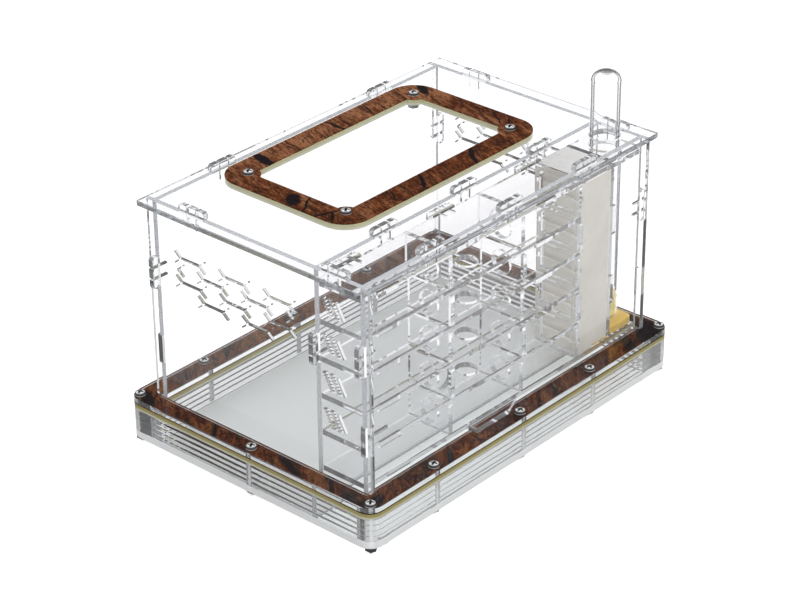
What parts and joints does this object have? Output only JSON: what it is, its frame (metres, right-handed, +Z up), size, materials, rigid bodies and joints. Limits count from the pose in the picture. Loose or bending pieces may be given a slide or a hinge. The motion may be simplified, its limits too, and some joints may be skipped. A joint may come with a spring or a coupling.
{
  "type": "ant habitat",
  "caption": "Clear laser-cut ant habitat with a tiered nest, an open arena under a lift-off hatch, a plug-in water tube and a screwed base of stacked sheets.",
  "frame": {"origin": "on the surface that the feet stand on, under the middle of the base", "axes": "+X along the long side towards the water tube, +Y from the nest's viewing wall to the arena, +Z up"},
  "size_m": [0.242, 0.17, 0.1791],
  "materials": {
    "clear_sheet": "clear cast acrylic with laser-cut edges",
    "clear_spacer": "clear acrylic frames seen through their cut edges",
    "trim_wood": "reddish brown figured veneer",
    "trim_edge": "pale yellow board edge",
    "hatch_edge": "cream to pale green board edge",
    "frosted_floor": "frosted light grey liner",
    "plaster": "cast plaster, matt and porous",
    "sponge": "open foam sponge",
    "screw_steel": "bright plated steel",
    "nut_steel": "plated steel",
    "foot_clear": "clear soft bumper",
    "tube_clear": "clear polished tube"
  },
  "bodies": {
    "habitat": {"bottom_plate": "clear_spacer", "arena_floor": "frosted_floor", "spacer_frame_1": "clear_spacer", "spacer_frame_2": "clear_spacer", "spacer_frame_3": "clear_spacer", "spacer_frame_4": "clear_spacer", "trim_body": "trim_edge", "trim_veneer": "trim_wood", "cover_frame": "clear_sheet", "end_wall_left": "clear_sheet", "end_wall_right": "clear_sheet", "back_wall": "clear_sheet", "front_wall": "clear_sheet", "middle_wall": "clear_sheet", "top_plate": "clear_sheet", "nest_base": "clear_sheet", "nest_floor_1": "clear_sheet", "nest_floor_2": "clear_sheet", "nest_floor_3": "clear_sheet", "nest_floor_4": "clear_sheet", "nest_roof": "clear_sheet", "nest_divider_left": "clear_sheet", "nest_divider_right": "clear_sheet", "plaster_divider": "clear_sheet", "plaster_block": "plaster", "tube_bay_panel": "clear_sheet", "sponge_pad": "sponge", "base_screws": "screw_steel", "base_nuts": "nut_steel", "feet": "foot_clear"},
    "hatch": {"hatch_ring_body": "hatch_edge", "hatch_ring_veneer": "trim_wood", "hatch_window": "clear_sheet", "hatch_screws": "screw_steel", "hatch_nuts": "nut_steel"},
    "tube": {"test_tube": "tube_clear", "sponge_plug": "sponge"}
  },
  "joints": [
    {"name": "hatch_lift", "type": "slide", "parent": "habitat", "child": "hatch", "axis": [0, 0, 1], "range_m": [0, 0.06]},
    {"name": "tube_lift", "type": "slide", "parent": "habitat", "child": "tube", "axis": [0, 0, 1], "range_m": [0, 0.12]}
  ]
}
